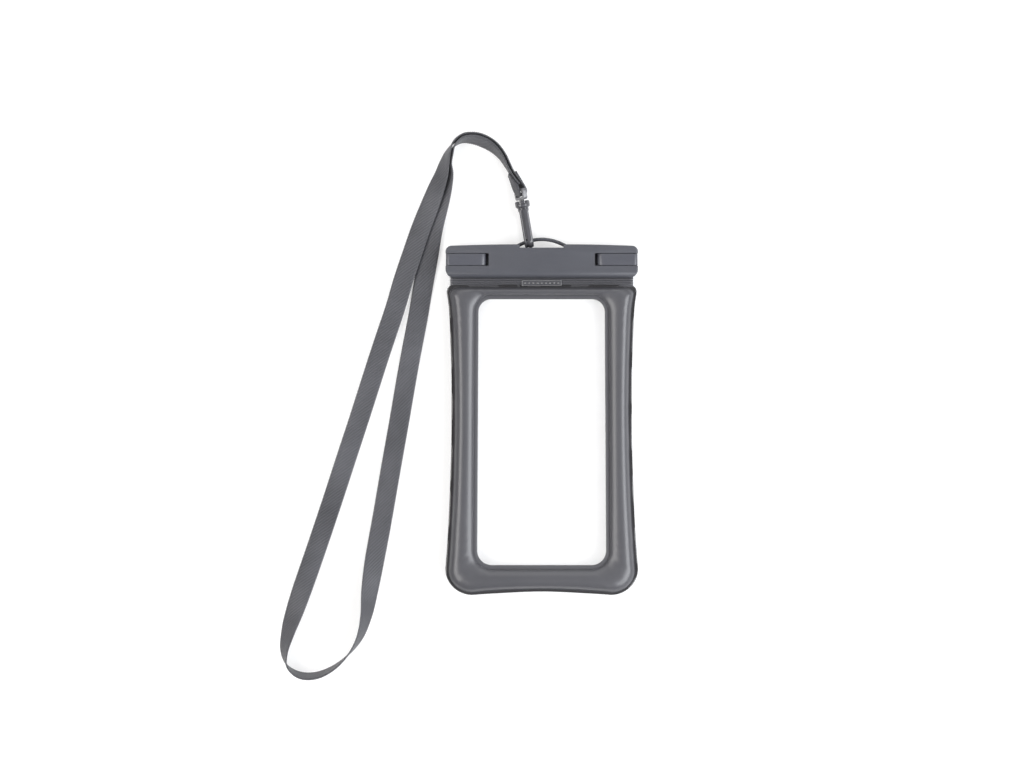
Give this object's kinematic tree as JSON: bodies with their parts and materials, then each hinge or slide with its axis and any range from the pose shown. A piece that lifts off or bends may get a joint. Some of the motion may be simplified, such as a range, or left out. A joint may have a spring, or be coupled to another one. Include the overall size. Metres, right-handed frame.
{
  "type": "waterproof phone pouch",
  "caption": "Floating waterproof phone pouch with clear windows, inflated rims, a latched closure bar and a webbing neck lanyard on a swivel snap hook.",
  "frame": {"origin": "on the resting surface under the middle of the pouch and its bar, without the lanyard", "axes": "+Y from the pouch's foot to its closure bar, +X to the right seen from the front, +Z out of the front window"},
  "size_m": [0.222, 0.3385, 0.0142],
  "materials": {
    "bar": "fine matt moulded",
    "latch": "fine matt moulded",
    "skin": "satin soft sheet",
    "film": "clear glossy sheet",
    "seal": "matt soft strip",
    "steel": "drawn wire",
    "hook": "smooth moulded",
    "webbing": "twill woven webbing"
  },
  "bodies": {
    "pouch": {"back_jaw": "bar", "front_jaw": "bar", "seal_strip": "seal", "front_film": "film", "back_film": "film", "front_air_ring": "skin", "back_air_ring": "skin", "neck_pad": "skin", "left_latch_pin": "steel", "right_latch_pin": "steel", "swivel_eye": "hook", "strap_fold": "webbing", "lanyard_strap": "webbing"},
    "left_latch": {"left_latch": "latch"},
    "right_latch": {"right_latch": "latch"},
    "hook": {"snap_hook": "hook", "gate_pin": "steel"},
    "gate": {"hook_gate": "hook"}
  },
  "joints": [
    {"name": "left_latch_swing", "type": "hinge", "parent": "pouch", "child": "left_latch", "pos_m": [-0.0564, 0.0965, 0.0032], "axis": [0, -1, 0], "range_deg": [0, 68]},
    {"name": "right_latch_swing", "type": "hinge", "parent": "pouch", "child": "right_latch", "pos_m": [0.0564, 0.0965, 0.0032], "axis": [0, 1, 0], "range_deg": [0, 90]},
    {"name": "hook_swivel", "type": "hinge", "parent": "pouch", "child": "hook", "pos_m": [-0.0123, 0.1331, 0.0064], "axis": [0.1666, -0.986, 0], "range_deg": [-9, 9]},
    {"name": "gate_swing", "type": "hinge", "parent": "hook", "child": "gate", "pos_m": [-0.01073, 0.12383, 0.0025], "axis": [0.986, 0.1666, 0], "range_deg": [-19, 0], "stiffness_Nm_per_rad": 0.002, "springref_deg": 17.19}
  ]
}
